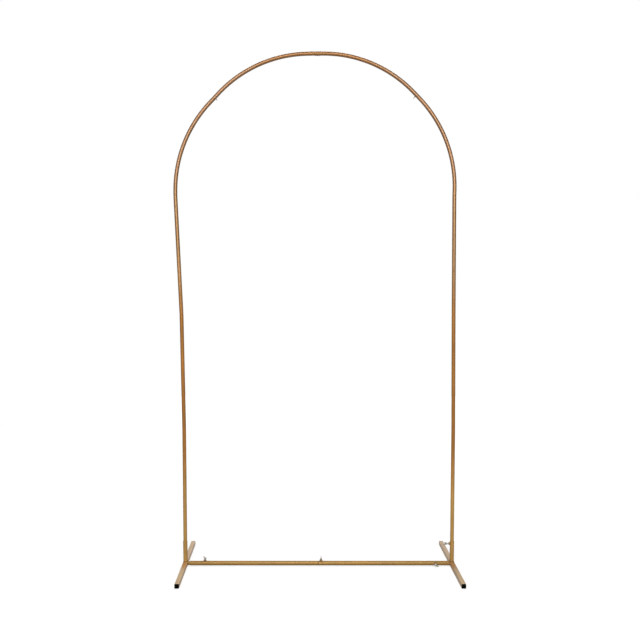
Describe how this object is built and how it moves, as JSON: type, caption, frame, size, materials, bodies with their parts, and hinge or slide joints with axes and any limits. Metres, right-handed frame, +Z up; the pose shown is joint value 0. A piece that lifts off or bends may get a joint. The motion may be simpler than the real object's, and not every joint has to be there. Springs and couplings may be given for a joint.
{
  "type": "balloon arch stand",
  "caption": "Free-standing round-topped arch of thin gold-painted steel tube on two square-tube feet joined by a base bar.",
  "frame": {"origin": "on the floor, at the centre of the box round the stand", "axes": "+X along the base bar, +Y from the front feet ends to the back, +Z up"},
  "size_m": [1.1043, 0.3754, 2],
  "materials": {
    "gold_paint": "satin",
    "black_plastic": "matte",
    "zinc_steel": "zinc plated"
  },
  "bodies": {
    "root": {"left_foot": "gold_paint", "left_foot_front_cap": "black_plastic", "left_foot_back_cap": "black_plastic", "left_post_socket": "gold_paint", "left_bar_stub": "gold_paint", "left_upright_lower": "gold_paint", "left_upright_middle": "gold_paint", "left_upright_upper": "gold_paint", "arch_left_lower": "gold_paint", "arch_left_upper": "gold_paint", "base_bar_left": "gold_paint", "right_foot": "gold_paint", "right_foot_front_cap": "black_plastic", "right_foot_back_cap": "black_plastic", "right_post_socket": "gold_paint", "right_bar_stub": "gold_paint", "right_upright_lower": "gold_paint", "right_upright_middle": "gold_paint", "right_upright_upper": "gold_paint", "arch_right_lower": "gold_paint", "arch_right_upper": "gold_paint", "base_bar_right": "gold_paint", "wing_bolt_bar_left": "zinc_steel", "weld_nut_bar_left": "gold_paint", "wing_bolt_bar_middle": "zinc_steel", "weld_nut_bar_middle": "gold_paint", "wing_bolt_bar_right": "zinc_steel", "weld_nut_bar_right": "gold_paint", "wing_bolt_left_socket": "zinc_steel", "weld_nut_left_socket": "gold_paint", "wing_bolt_right_socket": "zinc_steel", "weld_nut_right_socket": "gold_paint", "wing_bolt_left_haunch": "zinc_steel", "weld_nut_left_haunch": "gold_paint", "wing_bolt_right_haunch": "zinc_steel", "weld_nut_right_haunch": "gold_paint", "wing_bolt_crown": "zinc_steel", "weld_nut_crown": "gold_paint"}
  },
  "joints": []
}
